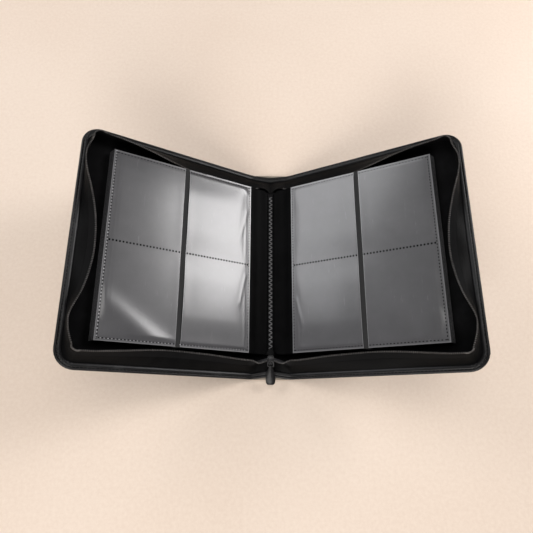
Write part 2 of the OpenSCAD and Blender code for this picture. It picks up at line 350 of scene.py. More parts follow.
def threadPaint(name, dark, light):
    # twisted yarn; U runs along it in metres and V once round it
    p = Paint(name, IOR=1.5, Sheen_Weight=0.2)
    twist = ((p.uv(0) * 5200 + p.uv(1) * math.tau).wave() * 0.5 + 0.5)
    fuzz = p.speckle(p.place(), 1400, 3.0)
    # the twist's ridges are painted lighter, a painted highlight along the yarn, with random fuzz
    lit = (twist * 0.7 + fuzz * 0.4).least(1.0)
    p.feed("Base Color", p.blendColour(lit, grey(dark, 1.05), grey(light, 1.04)))
    p.feed("Roughness", 0.42 + fuzz * 0.2)
    return p.bumps(twist + fuzz * 0.4, 0.6, 0.00015)


def metalPaint():
    p = Paint("blackMetal", IOR=1.38, Coat_Weight=0.2, Coat_Roughness=0.2)
    at = p.place()
    cast = p.speckle(at, 500, 4.0, 0.6)
    worn = p.speckle(at, 130, 4.0, 0.7).step(0.6, 0.7)
    p.feed("Base Color", p.blendColour(worn, grey(0.016, 1.08), grey(0.08, 1.02)))
    p.feed("Metallic", worn * 0.6)
    p.feed("Roughness", 0.3 + cast * 0.18)
    return p.bumps(cast, 0.2, 0.00012)


def pullPaint():
    p = Paint("pullTab", IOR=1.27, Coat_Weight=0.15, Coat_Roughness=0.25)
    at = p.place()
    grain = p.speckle(at, 700, 3.0, 0.6)
    wearAndSheen = p.speckle(at, 90, 4.0, 0.6)
    p.feed("Base Color", p.blendColour(wearAndSheen.step(0.4, 0.75), grey(0.004, 1.1), grey(0.012, 1.08)))
    p.feed("Roughness", 0.34 + grain * 0.14 + wearAndSheen * 0.08)
    return p.bumps(grain, 0.2, 0.00012)


def boardPaint():
    p = Paint("greyBoard", IOR=1.4)
    at = p.place()
    pulp = p.speckle(at, 600, 5.0, 0.7)
    flecks = p.cells(at, 900).step(0.12, 0.05)
    tone = (pulp + flecks * 0.4).least(1.0)
    p.feed("Base Color", p.blendColour(tone, (0.2, 0.17, 0.14, 1), (0.34, 0.3, 0.25, 1)))
    p.feed("Roughness", 0.8 + pulp * 0.15)
    return p.bumps(pulp, 0.3, 0.0002)


def holeShadePaint():
    p = Paint("needleHole", IOR=1.05)
    # near black throughout: painted shade for the inside of a needle hole
    depth = p.speckle(p.place(), 900, 2.0)
    p.feed("Base Color", p.blendColour(depth, grey(0.0004), grey(0.0016)))
    p.feed("Roughness", 0.8 + depth * 0.2)
    return p.bumps(depth, 0.2, 0.0001)


def corePaint():
    # the pressed folds show as thin lines, one for each leaf: painted shade darkens the grooves between
    # them and their ridges are paler
    p = Paint("foldedRoots", IOR=1.2)
    at = p.place()
    x = p.node("ShaderNodeSeparateXYZ", None, {0: at}, out=0).size()
    z = p.node("ShaderNodeSeparateXYZ", None, {0: at}, out=2)
    folds = ((x - z) * (math.tau / (1.9 * mm))).wave() * 0.5 + 0.5
    soft = p.speckle(at, 300, 3.0)
    p.feed("Base Color", p.blendColour(folds, grey(0.003, 1.1), grey(0.009, 1.1)))
    p.feed("Roughness", 0.5 + soft * 0.2)
    return p.bumps(folds + soft * 0.5, 0.3, 0.0002)


def floorPaint():
    p = Paint("paleFloor", IOR=1.35)
    at = p.place()
    fibres = p.speckle(at, 260, 5.0, 0.65)
    broad = p.speckle(at, 3.2, 3.0, 0.5)
    tone = (fibres * 0.5 + broad * 0.5).step(0.3, 0.7)
    p.feed("Base Color", p.blendColour(tone, (0.78, 0.64, 0.53, 1), (0.86, 0.73, 0.62, 1)))
    p.feed("Roughness", 0.75 + fibres * 0.15)
    return p.bumps(fibres, 0.25, 0.0006)


paints = {
    "leather": leatherPaint(),
    "edge": edgePaint(),
    "lining": liningPaint(),
    "gusset": gussetPaint(),
    "coil": coilPaint(),
    "sheet": sheetPaint(),
    "film": filmPaint(),
    "weld": weldPaint(),
    "bead": glintBeadPaint(),
    "thread": threadPaint("bindingThread", 0.016, 0.17),
    "stitch": threadPaint("edgeStitching", 0.005, 0.02),
    "metal": metalPaint(),
    "pull": pullPaint(),
    "board": boardPaint(),
    "core": corePaint(),
    "hole": holeShadePaint(),
    "floor": floorPaint(),
}
print("materials ready:", len(paints))


def finishMesh(piece, paint, angle=38):
    piece.data.materials.clear()
    piece.data.materials.append(paints[paint])
    bpy.ops.object.select_all(action="DESELECT")
    piece.select_set(True)
    bpy.context.view_layer.objects.active = piece
    bpy.ops.object.shade_smooth_by_angle(angle=math.radians(angle))
    piece.select_set(False)
    return piece


def fromPoints(name, points, faces, paint, uvs=None, outward=True, angle=38):
    # a soft piece from its points; uvs has one place for each point
    mesh = bpy.data.meshes.new(name)
    mesh.from_pydata(points, [], faces)
    piece = bpy.data.objects.new(name, mesh)
    bpy.context.scene.collection.objects.link(piece)
    if uvs:
        layer = mesh.uv_layers.new(name="UVMap")
        for loop in mesh.loops:
            layer.data[loop.index].uv = uvs[loop.vertex_index]
    if outward:
        work = bmesh.new()
        work.from_mesh(mesh)
        bmesh.ops.recalc_face_normals(work, faces=work.faces)
        work.to_mesh(mesh)
        work.free()
    return finishMesh(piece, paint, angle)


def loft(name, rings, paint, uvs=None, angle=38):
    # a closed tube through rings of points, with both ends capped
    n = len(rings[0])
    points = [p for ring in rings for p in ring]
    faces = []
    for i in range(len(rings) - 1):
        for k in range(n):
            a, b = i * n + k, i * n + (k + 1) % n
            faces.append((a, b, b + n, a + n))
    faces.append(tuple(range(n)))
    faces.append(tuple(range(len(points) - n, len(points))))
    flat = [uv for ring in uvs for uv in ring] if uvs else None
    return fromPoints(name, points, faces, paint, flat, angle=angle)


def startPiece(name, add, **values):
    bpy.ops.object.select_all(action="DESELECT")
    add(**values)
    piece = bpy.context.view_layer.objects.active
    piece.name = piece.data.name = name
    return piece


def selectFaces(piece, test):
    # edit mode, with only the faces that test picks by middle and normal
    if bpy.context.mode != "EDIT_MESH":
        bpy.context.view_layer.objects.active = piece
        bpy.ops.object.mode_set(mode="EDIT")
    bpy.ops.mesh.select_mode(type="FACE")
    bpy.ops.mesh.select_all(action="DESELECT")
    work = bmesh.from_edit_mesh(piece.data)
    for face in work.faces:
        face.select_set(test(face.calc_center_median(), face.normal))
    work.select_flush_mode()
    bmesh.update_edit_mesh(piece.data)


def selectPoints(piece, test):
    if bpy.context.mode != "EDIT_MESH":
        bpy.context.view_layer.objects.active = piece
        bpy.ops.object.mode_set(mode="EDIT")
    bpy.ops.mesh.select_mode(type="VERT")
    bpy.ops.mesh.select_all(action="DESELECT")
    work = bmesh.from_edit_mesh(piece.data)
    for vert in work.verts:
        vert.select_set(test(vert.co))
    work.select_flush_mode()
    bmesh.update_edit_mesh(piece.data)


def softenEdges(piece, width, segments=2, angle=30):
    # bevels the sharp edges and applies it
    if bpy.context.mode == "EDIT_MESH":
        bpy.ops.object.mode_set(mode="OBJECT")
    bpy.ops.object.select_all(action="DESELECT")
    piece.select_set(True)
    bpy.context.view_layer.objects.active = piece
    modifier = piece.modifiers.new("softEdges", "BEVEL")
    modifier.width, modifier.segments = width, segments
    modifier.limit_method, modifier.angle_limit = "ANGLE", math.radians(angle)
    bpy.ops.object.modifier_apply(modifier=modifier.name)


def outwardFaces(piece):
    bpy.context.view_layer.objects.active = piece
    bpy.ops.object.mode_set(mode="EDIT")
    bpy.ops.mesh.select_all(action="SELECT")
    bpy.ops.mesh.remove_doubles(threshold=0.00001)
    bpy.ops.mesh.normals_make_consistent(inside=False)
    bpy.ops.object.mode_set(mode="OBJECT")


def takeShape(piece):
    # a small shape's points and faces, to be strung along a line; the pattern piece goes
    shape = [v.co.copy() for v in piece.data.vertices], [tuple(f.vertices) for f in piece.data.polygons]
    bpy.data.objects.remove(piece)
    return shape


def strung(name, shape, places, paint, angle=50):
    # copies of a small shape in one mesh; each place is (middle, along, across, up)
    corners, panels = shape
    points, faces, uvs = [], [], []
    for middle, along, across, up in places:
        first = len(points)
        for c in corners:
            points.append(middle + along * c.x + across * c.y + up * c.z)
            uvs.append((c.x, math.atan2(c.z, c.y) / math.tau))
        faces += [tuple(first + k for k in face) for face in panels]
    return fromPoints(name, points, faces, paint, uvs, angle=angle)


def barShape(length, width, height, taper=0.6):
    # a short rounded bar along X: a sewn stitch, a zip tooth or a weld mark
    bar = startPiece("bar", bpy.ops.mesh.primitive_cylinder_add, vertices=6, radius=0.5, depth=0.7)
    bpy.ops.object.mode_set(mode="EDIT")
    bpy.ops.mesh.select_all(action="SELECT")
    bpy.ops.transform.rotate(value=math.pi / 2, orient_axis="Y", center_override=(0, 0, 0))
    for end in (-1, 1):
        selectFaces(bar, lambda c, n: n.x * end > 0.9)
        bpy.ops.mesh.extrude_region_move(TRANSFORM_OT_translate={"value": (end * 0.15, 0, 0)})
        bpy.ops.transform.resize(value=(1, taper, taper))
    bpy.ops.object.mode_set(mode="OBJECT")
    points, faces = takeShape(bar)
    return [Vector((p.x * length, p.y * width, p.z * height)) for p in points], faces


coverMaking = {
    "faceInset": 7 * mm,
    "puff": 0.35 * mm,
    "edgeDrop": 0.3 * mm,
    "groove": 0.4 * mm,
    "rows": 46,
    "stitch": 2.7 * mm,
    "stitchGap": 0.8 * mm,
    "spineDip": 2.4 * mm,
    "liningInset": 2.62 * mm,
    "liningT": 0.3 * mm,
    "liningRows": 40,
}
# the rolled edge, from the outer face round the rim to the lining: inset and height, in mm
rimProfile = (
    (4.6, -0.78), (3.0, -0.68), (1.7, -0.45), (0.75, -0.02), (0.2, 0.65), (0.0, 1.4), (0.06, 2.1),
    (0.35, 2.75), (0.9, 3.22), (1.5, 3.36), (2.05, 3.2), (2.4, 2.8), (2.52, 2.2), (2.55, 0.72),
)


def endDip(q):
    # the spine's two ends are drawn in a little between the covers
    return coverMaking["spineDip"] * (1 - smooth(q / (24 * mm)))


def outlineSpots(cornerSteps=9, longSteps=40):
    # (q, y, inward q, inward y) along the outline, from the spine's top round to its bottom
    r, half = binder["cornerR"], coverH / 2
    straight = shellEnd - r
    qs = [spineHalf * i / 5 for i in range(5)]
    qs += [spineHalf + bendL * i / 7 for i in range(7)]
    rest = straight - spineHalf - bendL
    qs += [spineHalf + bendL + rest * i / longSteps for i in range(longSteps)]
    top = [(q, half - endDip(q), 0.0, -1.0) for q in qs]
    for i in range(cornerSteps + 1):
        a = math.pi / 2 * i / cornerSteps
        top.append((straight + r * math.sin(a), half - r + r * math.cos(a), -math.sin(a), -math.cos(a)))
    side = []
    for j in range(1, coverMaking["rows"]):
        side.append((shellEnd, (half - r) * (1 - 2 * j / coverMaking["rows"]), -1.0, 0.0))
    return top, side, [(q, -y, iq, -iy) for q, y, iq, iy in reversed(top)]


def puckered(q, y):
    # how much the leather gathers there: only round the corners
    r, half = binder["cornerR"], coverH / 2
    dq, dy = q - (shellEnd - r), abs(y) - (half - r)
    if dq <= 0 or dy <= 0:
        return 0.0
    a = math.atan2(dq, dy)
    return smooth(a / 0.3) * smooth((math.pi / 2 - a) / 0.3) * math.sin(a * 26 + 2 * math.sin(a * 7))


def coverShell(side):
    top, edge, bottom = outlineSpots()
    outline = top + edge + bottom
    rows, inset = coverMaking["rows"], coverMaking["faceInset"]
    points, faces = [], []

    def facePoints(inset, height):
        first = len(points)
        for q, y, iq, iy in top:
            q, y = q + iq * inset, y + iy * inset
            for j in range(rows + 1):
                at = y * (1 - 2 * j / rows)
                points.append(shellPoint(side, q, at, height(q, at)))
        return first

    def outerHeight(q, y):
        fromEdge = min(shellEnd - q, coverH / 2 - abs(y)) - inset
        soft = noise.noise(Vector((q * 40, y * 40, 3.1 * sides[side]))) * 0.08 * mm
        onCover = smooth((q - spineHalf - bendL) / (14 * mm))
        puff = coverMaking["puff"] * smooth(fromEdge / (20 * mm)) * onCover
        line = coverMaking["groove"] * bell(q, spineHalf + bendL + 2 * mm, 1.6 * mm)
        drop = coverMaking["edgeDrop"] * (1 - smooth(fromEdge / (9 * mm))) * onCover
        return -skinT - puff - soft * onCover + line + drop * 0.4

    outer = facePoints(inset, outerHeight)
    n = len(top)
    for i in range(n - 1):
        for j in range(rows):
            a = outer + i * (rows + 1) + j
            faces.append((a, a + 1, a + rows + 2, a + rows + 1))

    def boundary(first):
        # the boundary of a face grid, in the outline's order
        line = [first + i * (rows + 1) for i in range(n)]
        line += [first + (n - 1) * (rows + 1) + j for j in range(1, rows)]
        return line + [first + i * (rows + 1) + rows for i in reversed(range(n))]

    rings = [boundary(outer)]
    for depth, height in rimProfile:
        ring = []
        for q, y, iq, iy in outline:
            d = depth * mm
            wobble = 0.05 * mm * noise.noise(Vector((q * 90, y * 90, depth)))
            gather = 0.1 * mm * puckered(q, y) if 0.5 < depth < 2.2 and height > 2 else 0.0
            ring.append(len(points))
            points.append(shellPoint(side, q + iq * d, y + iy * d, height * mm + wobble + gather))
        rings.append(ring)
    inner = facePoints(rimProfile[-1][0] * mm + 0.6 * mm, lambda q, y: 0.72 * mm)
    rings.append(boundary(inner))
    for low, high in zip(rings, rings[1:]):
        for k in range(len(low) - 1):
            faces.append((low[k], low[k + 1], high[k + 1], high[k]))
    for i in range(n - 1):
        for j in range(rows):
            a = inner + i * (rows + 1) + j
            faces.append((a, a + rows + 1, a + rows + 2, a + 1))
    # the cut down the middle of the spine
    starts, ends = [ring[0] for ring in rings], [ring[-1] for ring in rings]
    cut = [outer + j for j in range(rows + 1)] + ends[1:-1]
    cut += [inner + j for j in reversed(range(rows + 1))] + list(reversed(starts[1:-1]))
    faces.append(tuple(cut))
    name = side + "_cover_leather"
    piece = fromPoints(name, points, faces, "leather", angle=50)
    piece.data.materials.append(paints["edge"])
    rim = set(v for ring in rings[2:-1] for v in ring)
    for polygon in piece.data.polygons:
        if len(polygon.vertices) < 10 and all(v in rim for v in polygon.vertices):
            polygon.material_index = 1
    return piece


def spineBlend(piece, side, start=spineHalf, end=spineHalf + bendL):
    near, far = shellPoint(side, start, 0, 0), shellPoint(side, end, 0, 0)
    side + "_cover"
    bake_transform(piece)


# the seam band's section over the gusset's foot: inset and height, in mm
bandProfile = (
    (2.75, 3.04), (2.78, 3.5), (3.2, 3.86), (4.0, 4.02), (4.9, 4.0), (5.8, 3.8), (6.5, 3.46), (6.75, 3.04),
)


def edgeBand(side):
    # the leather strip that holds the gusset's foot, gathered round the corners
    top, edge, bottom = outlineSpots(cornerSteps=30, longSteps=56)
    outline = top + edge + bottom
    rings, uvs, run = [], [], 0.0
    last = None
    for q, y, iq, iy in outline:
        if last:
            run += math.dist(last, (q, y))
        last = (q, y)
        ring, uv = [], []
        for k, (inset, height) in enumerate(bandProfile):
            d, t = inset * mm, height * mm
            middle = math.sin(math.pi * k / (len(bandProfile) - 1))
            uneven = noise.noise(Vector((run * 130, inset, 1.7)))
            t += middle * (0.32 * mm * puckered(q, y) + 0.09 * mm * uneven)
            ring.append(shellPoint(side, q + iq * d, y + iy * d, t))
            uv.append((run, d))
        rings.append(ring)
        uvs.append(uv)
    piece = loft(side + "_gusset_seam_band", rings, "edge", uvs, angle=60)
    return piece


def outlineWalk(inset, spacing, fromQ=0.0):
    # evenly spaced (q, y, along q, along y) on the outline at that inset
    r, half = binder["cornerR"] - inset, coverH / 2 - inset
    straight = shellEnd - inset - r
    arc = math.pi / 2 * r
    long = 2 * (half - r)
    total = 2 * straight + 2 * arc + long
    count = int((total - 2 * fromQ) / spacing)
    walk = []
    for i in range(count + 1):
        u = fromQ + (total - 2 * fromQ) * i / count
        flip = u > total / 2
        u = min(u, total - u)
        if u < straight:
            spot = (u, half - endDip(u), 1.0, 0.0)
        elif u < straight + arc:
            a = (u - straight) / r
            spot = (straight + r * math.sin(a), half - r + r * math.cos(a), math.cos(a), -math.sin(a))
        else:
            spot = (straight + r, half - r - (u - straight - arc), 0.0, -1.0)
        q, y, aq, ay = spot
        walk.append((q, -y, -aq, ay) if flip else spot)
    return walk


def onShell(side, q, y, t, alongQ, alongY):
    # middle, along, across and up there
    step = 0.05 * mm
    here = shellPoint(side, q, y, t)
    ahead = shellPoint(side, q + alongQ * step, y + alongY * step, t)
    up = (shellPoint(side, q, y, t + step) - here).normalized()
    along = (ahead - here).normalized()
    return here, along, up.cross(along), up


def edgeStitches(side, shape, name, inset, height, upward):
    places = []
    for q, y, aq, ay in outlineWalk(inset, coverMaking["stitch"] + coverMaking["stitchGap"]):
        here, along, across, up = onShell(side, q, y, height, aq, ay)
        places.append((here, along, across, up * upward))
    piece = strung(side + name, shape, places, "stitch")
    return piece


stitchShape = barShape(coverMaking["stitch"], 0.62 * mm, 0.5 * mm)


def innerLining(side):
    # the cloth inside the cover, carried over the crease to the middle of the spine
    inset, rows = coverMaking["liningInset"], coverMaking["liningRows"]
    top = outlineSpots(cornerSteps=7, longSteps=34)[0]
    points, faces, uvs = [], [], []

    def height(q, y):
        soft = noise.noise(Vector((q * 55, y * 55, 7.7))) * 0.1 * mm
        crease = 0.5 * mm * bell(q, spineHalf + bendL / 2, 3 * mm)
        onSpine = spineTop - hingeZ
        base = between(q, [(spineHalf, onSpine), (spineHalf + bendL, binder["liningTop"])])
        return base + 0.08 * mm + abs(soft) - crease * 0.4

    for q, y, iq, iy in top:
        q, y = q + iq * inset, y + iy * inset
        for j in range(rows + 1):
            at = y * (1 - 2 * j / rows)
            points.append(shellPoint(side, q, at, height(q, at)))
            uvs.append((q, at))
    for i in range(len(top) - 1):
        for j in range(rows):
            a = i * (rows + 1) + j
            faces.append((a, a + rows + 1, a + rows + 2, a + 1))
    if side == "front":
        faces = [tuple(reversed(f)) for f in faces]
    piece = fromPoints(side + "_inner_lining", points, faces, "lining", uvs, outward=False)
    modifier = piece.modifiers.new("cloth", "SOLIDIFY")
    modifier.thickness, modifier.offset = coverMaking["liningT"], -1
    bpy.context.view_layer.objects.active = piece
    bpy.ops.object.modifier_apply(modifier=modifier.name)
    flat = (shellEnd - inset, coverH - 2 * inset)
    return piece


for side in sides:
    shell = coverShell(side)
    spineBlend(shell, side)
    nodes = [side + "_cover_skin", side + "_cover_foam", side + "_hinge_strip"]
    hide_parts(*nodes, *(["spine_skin"] if side == "front" else []))
    band = edgeBand(side)
    spineBlend(band, side)
    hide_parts(side + "_cover_piping")
    lining = innerLining(side)
    spineBlend(lining, side)
    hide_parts(side + "_cover_lining", *(["spine_lining"] if side == "front" else []))
    inside = edgeStitches(side, stitchShape, "_inner_stitches", 2.72 * mm, 3.0 * mm, 1)
    spineBlend(inside, side)
    outside = edgeStitches(side, stitchShape, "_outer_stitches", 4.6 * mm, -0.62 * mm, -1)
    spineBlend(outside, side)
print("covers made")


gusset = {
    "width": 18.1 * mm,
    "band": 11 * mm,
    "bandT": 0.7 * mm,
    "tapeT": 0.5 * mm,
    "edgeT": 0.9 * mm,
    "across": 16,
    "blendStart": 13 * mm,
    "blendEnd": 34 * mm,
    "coilShare": 0.973,
    "topTeethStart": 17 * mm,
    "step": 2.6 * mm,
    "climbEnd": 27 * mm,
    "ripple": 0.5,
    "spineExtra": [(0, 3.2), (0.0035, 2.0), (0.012, 1.0), (0.02, 0.5), (0.032, 0)],
    "toothPitch": 1.75 * mm,
}
gussetR = binder["cornerR"] - binder["gussetInset"]
gussetY = coverH / 2 - binder["gussetInset"]
gussetQ = shellEnd - binder["gussetInset"]
runQ = gussetQ - gussetR
cornerL = math.pi / 2 * gussetR
foreL = 2 * (gussetY - gussetR)
# lean inwards in degrees, and how much more it leans at its free edge than at its foot
leans = {
    "top": [(0, 66), (0.004, 57), (0.009, 52), (0.016, 53), (0.022, 60), (0.032, 69), (0.06, 72),
            (0.1, 68), (0.155, 36), (0.18, 25), (0.203, 20), (0.213, 10), (0.222, 4)],
    "bottom": [(0, 68), (0.009, 72), (0.018, 62), (0.028, 44), (0.045, 44), (0.08, 58), (0.12, 64),
               (0.165, 41), (0.19, 31), (0.203, 29), (0.213, 23), (0.222, 15)],
    "fore": [(0, 4), (0.018, -12), (0.035, -7), (0.06, 20), (0.09, 52), (0.112, 63), (0.13, 52),
             (0.155, 27), (0.178, -2), (0.19, -1), (0.199, 7), (0.206, 15)],
}
curls = {
    "top": [(0, 10), (0.03, 24), (0.14, 16), (0.21, 0)],
    "bottom": [(0, 0), (0.035, 10), (0.1, 20), (0.2, 0)],
    "fore": [(0, 0), (0.06, 18), (0.14, 18), (0.206, 0)],
}
# beside the slider the tape folds over by this much more, like a wing
wingFold = [(0, -110), (0.006, -150), (0.012, -155), (0.02, -100), (0.032, 0)]


def gussetSpot(part, u):
    # (q, y, inward q, inward y) where the foot of that stretch is
    if part == "fore":
        return gussetQ, foreL / 2 - u, -1.0, 0.0
    flip = -1 if part == "bottom" else 1
    if u <= runQ:
        return u, flip * (gussetY - endDip(u)), 0.0, -flip * 1.0
    a = (u - runQ) / gussetR
    q, y = runQ + gussetR * math.sin(a), gussetY - gussetR + gussetR * math.cos(a)
    return q, flip * y, -math.sin(a), -flip * math.cos(a)


def clothWidth(part, u):
    # the cloth is a little deeper behind the leaves' fold and where it runs into the slider
    return gusset["width"] + (between(u, gusset["spineExtra"]) * mm if part != "fore" else 0)


def gussetPoint(side, part, u, share, d):
    # that share of the way up the cloth from its foot, and d through it
    q, y, iq, iy = gussetSpot(part, u)
    lean, curl = between(u, leans[part]), between(u, curls[part])
    seed = {"top": 0.0, "bottom": 5.0, "fore": 9.0}[part] + (2.5 if side == "front" else 0.0)
    calm = 1.0 if part == "fore" else smooth((gussetQ - q) / (30 * mm))
    if part == "fore":
        calm = smooth(u / (30 * mm)) * smooth((foreL - u) / (30 * mm))
    wave = gusset["ripple"] * 4 * calm * noise.noise(Vector((u * 28, seed, 0.5)))
    fold = between(u, wingFold) if part == "bottom" else 0.0
    w = share * clothWidth(part, u)
    steps = 12
    inward = out = 0.0

    def bend(at):
        return math.radians(lean + curl * (at - 0.5) + wave * at + fold * smooth((at - 0.5) / 0.5))

    for k in range(steps):
        angle = bend(share * (k + 0.5) / steps)
        inward += w / steps * math.sin(angle)
        out += w / steps * math.cos(angle)
    angle = bend(share)
    inward += d * math.cos(angle)
    out -= d * math.sin(angle)
    foot = shellPoint(side, q, y, binder["gussetLift"])
    if q < spineHalf:
        foot.z = spineTop + 0.3 * mm
    tilt = openAngle * smooth(q / gusset["climbEnd"])
    outX, outZ = -math.sin(tilt), math.cos(tilt)
    return foot + Vector((
        sides[side] * (iq * inward * math.cos(tilt) + out * outX),
        iy * inward,
        iq * inward * math.sin(tilt) + out * outZ,
    ))


def clothThickness(share):
    w = share * gusset["width"]
    if w < gusset["band"]:
        return gusset["bandT"]
    return gusset["tapeT"] + (gusset["edgeT"] - gusset["tapeT"]) * smooth((share - 0.88) / 0.08)


def gussetStretch(side, part, start, end):
    count = int((end - start) / gusset["step"])
    if part != "fore":
        count = int(count * 1.3)
    shares = [i / gusset["across"] for i in range(gusset["across"] + 1)]
    shares.insert(10, gusset["band"] / gusset["width"] + 0.012)
    shares.insert(10, gusset["band"] / gusset["width"] - 0.004)
    shares = sorted(set(shares))
    rings, uvs = [], []
    for i in range(count + 1):
        u = start + (end - start) * i / count
        ring, uv = [], []
        for face, order in ((-0.5, shares), (0.5, list(reversed(shares)))):
            for share in order:
                w = share * gusset["width"]
                ring.append(gussetPoint(side, part, u, share, face * clothThickness(share)))
                uv.append((u, w))
        rings.append(ring)
        uvs.append(uv)
    return loft(f"{side}_{part}_zip_gusset", rings, "gusset", uvs, angle=55)


toothShape = barShape(1.6 * mm, 1.2 * mm, 1.35 * mm, 0.7)


def gussetTeeth(side, part, start, end):
    # the coil along the free edge, one rounded loop for each tooth
    count = int((end - start) / gusset["toothPitch"])
    places = []
    for i in range(count):
        u = start + (end - start) * (i + 0.5) / count
        share = gusset["coilShare"]
        here = gussetPoint(side, part, u, share, 0)
        up = (gussetPoint(side, part, u, share, 0.2 * mm) - here).normalized()
        out = (gussetPoint(side, part, u, share + 0.012, 0) - here).normalized()
        places.append((here, out, up.cross(out), up))
    piece = strung(f"{side}_{part}_zip_teeth", toothShape, places, "coil", angle=60)
    return piece


cornerEnd = runQ + cornerL
stretches = {
    "top": (0.0, cornerEnd),
    "bottom": (2.2 * mm, cornerEnd),
    "fore": (0.0, foreL),
}
for side in sides:
    for part, (start, end) in stretches.items():
        cloth = gussetStretch(side, part, start, end)
        # over the fold the top gusset has no teeth: its coil is stitched away
        teeth = gussetTeeth(side, part, gusset["topTeethStart"] if part == "top" else start, end)
        if part == "fore":
            for piece in (cloth, teeth):
                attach(piece, side + "_cover")
                outward = shellPoint(side, gussetQ, 0, 0) - shellPoint(side, gussetQ - 0.05, 0, 0)
                foot = shellPoint(side, gussetQ, 0, binder["gussetLift"])
                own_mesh(piece)
            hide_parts(side + "_gusset_band", side + "_zip_tape")
            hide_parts(side + "_zip_coil")
        else:
            for piece in (cloth, teeth):
                spineBlend(piece, side, gusset["blendStart"], gusset["blendEnd"])
            if side == "front":
                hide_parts(part + "_gusset")
        end - start
print("zip gusset made")


leafMaking = {
    "count": 8,
    "sheetT": 0.24 * mm,
    "filmT": 0.1 * mm,
    "sag": 1.3 * mm,
    "curl": 0.55 * mm,
    "curlEnd": 3 * mm,
    "rootStart": -0.1 * mm,
    "lowRootStart": -0.3 * mm,
    "rootClip": 0.04,
    "rootClipEnd": 6 * mm,
    "reachOut": 0.7 * mm,
    "margin": 26.5 * mm,
    "fold": 2.6 * mm,
    "bar": 5.2 * mm,
    "edge": 0.25 * mm,
    "weldIn": 2.6 * mm,
    "innerWeldIn": 1.7 * mm,
    "dashPitch": 3.3 * mm,
    "sideDash": (1.6 * mm, 0.9 * mm),
    "middleDash": (1.7 * mm, 1.9 * mm),
    "sideBead": (1.3 * mm, 0.8 * mm),
    "endBead": (1.2 * mm, 0.6 * mm),
    "topGrid": 1.35 * mm,
    "lowGrid": 4.2 * mm,
}


def leafPlace(side, n):
    # where a leaf's root is, its angle, its length and height, and how far its margin sags
    joint = joints[f"{side}_leaf_{n}_turn"]
    node = f"{side}_leaf_{n}_sheet"
    size = boxSize(node)
    angle = openAngle
    for _ in range(4):
        t = leafMaking["sheetT"]
        angle = math.atan2(size.z - t * math.cos(angle), size.x - t * math.sin(angle))
    length = (size.x - leafMaking["sheetT"] * math.sin(angle)) / math.cos(angle)
    sag = leafMaking["sag"] * (n - 1) / (leafMaking["count"] - 1)
    return {
        "x": abs(joint["pos_m"][0]),
        "z": joint["pos_m"][2],
        "angle": angle,
        "length": length + leafMaking["reachOut"],
        "height": size.y,
        "sag": sag,
    }


def leafPoint(side, place, s, y, t):
    x, z, angle = place["x"], place["z"], place["angle"]
    margin = leafMaking["margin"] - leafMaking["fold"]
    if 0 < s < margin:
        t -= place["sag"] * math.sin(math.pi * s / margin) ** 2
    if s < leafMaking["curlEnd"]:
        t -= leafMaking["curl"] * (1 - s / leafMaking["curlEnd"]) ** 2
    out = x + s * math.cos(angle) - t * math.sin(angle)
    return Vector((sides[side] * out, y, z + s * math.sin(angle) + t * math.cos(angle)))


def spread(start, end, step):
    count = max(1, round((end - start) / step))
    return [start + (end - start) * i / count for i in range(count + 1)]


def leafSheet(side, n, place):
    length, height = place["length"], place["height"]
    margin = leafMaking["margin"] - leafMaking["fold"]
    start = leafMaking["rootStart" if n == leafMaking["count"] else "lowRootStart"]
    ss = spread(start, 3 * mm, 0.5 * mm) + spread(3.8 * mm, margin, 1.7 * mm)
    ss += spread(margin + 6 * mm, length, 9 * mm)
    ys = spread(-height / 2, height / 2, 6 * mm)
    half = leafMaking["sheetT"] / 2
    soft = 0.25 * mm if n == leafMaking["count"] else 0.08 * mm

    def lift(s, y):
        if s > margin:
            return 0.0
        wave = noise.noise(Vector((s * 60, y * 22, n * 3.3 + sides[side])))
        return soft * wave * math.sin(math.pi * max(s, 0) / margin)

    points, uvs, faces = [], [], []
    for face in (-half, half):
        for s in ss:
            for y in ys:
                clip = leafMaking["rootClip"] * smooth(1 - s / leafMaking["rootClipEnd"])
                points.append(leafPoint(side, place, s, y * (1 - clip), face + lift(s, y)))
                uvs.append((s, y))
    rows, cols = len(ss), len(ys)
    layer = rows * cols
    for i in range(rows - 1):
        for j in range(cols - 1):
            a = i * cols + j
            faces.append((a, a + 1, a + cols + 1, a + cols))
            faces.append((a + layer, a + layer + cols, a + layer + cols + 1, a + layer + 1))
    rim = [j for j in range(cols)] + [i * cols + cols - 1 for i in range(1, rows)]
    rim += [(rows - 1) * cols + j for j in reversed(range(cols - 1))]
    rim += [i * cols for i in reversed(range(1, rows - 1))]
    for a, b in zip(rim, rim[1:] + rim[:1]):
        faces.append((a, a + layer, b + layer, b))
    piece = fromPoints(f"{side}_leaf_{n}_backing", points, faces, "sheet", uvs, angle=50)
    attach(piece, f"{side}_leaf_{n}")
    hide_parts(f"{side}_leaf_{n}_sheet")
    return piece


# soft folds in the clear film of the two top leaves: from and to (s, y), half width, height, all in mm
filmFolds = {
    "front": [
        ((190, -50), (106, -108), 11, 1.2),
        ((28, 66), (37, 30), 1.4, 0.3),
        ((39, 95), (28, 86), 2.2, 0.4),
        ((30, 60), (30, 6), 1.2, 0.2),
        ((29, -10), (37, -48), 1.5, 0.3),
        ((30.5, -30), (29.5, -90), 1.3, 0.25),
    ],
    "back": [
        ((28, -36), (36, -72), 1.4, 0.3),
        ((36, -72), (33, -91), 1.4, 0.3),
        ((29.5, -50), (31, -90), 1.1, 0.2),
        ((30, -93), (38, -92), 2.4, 0.4),
        ((150, -98), (179, -66), 9, 0.3),
    ],
}


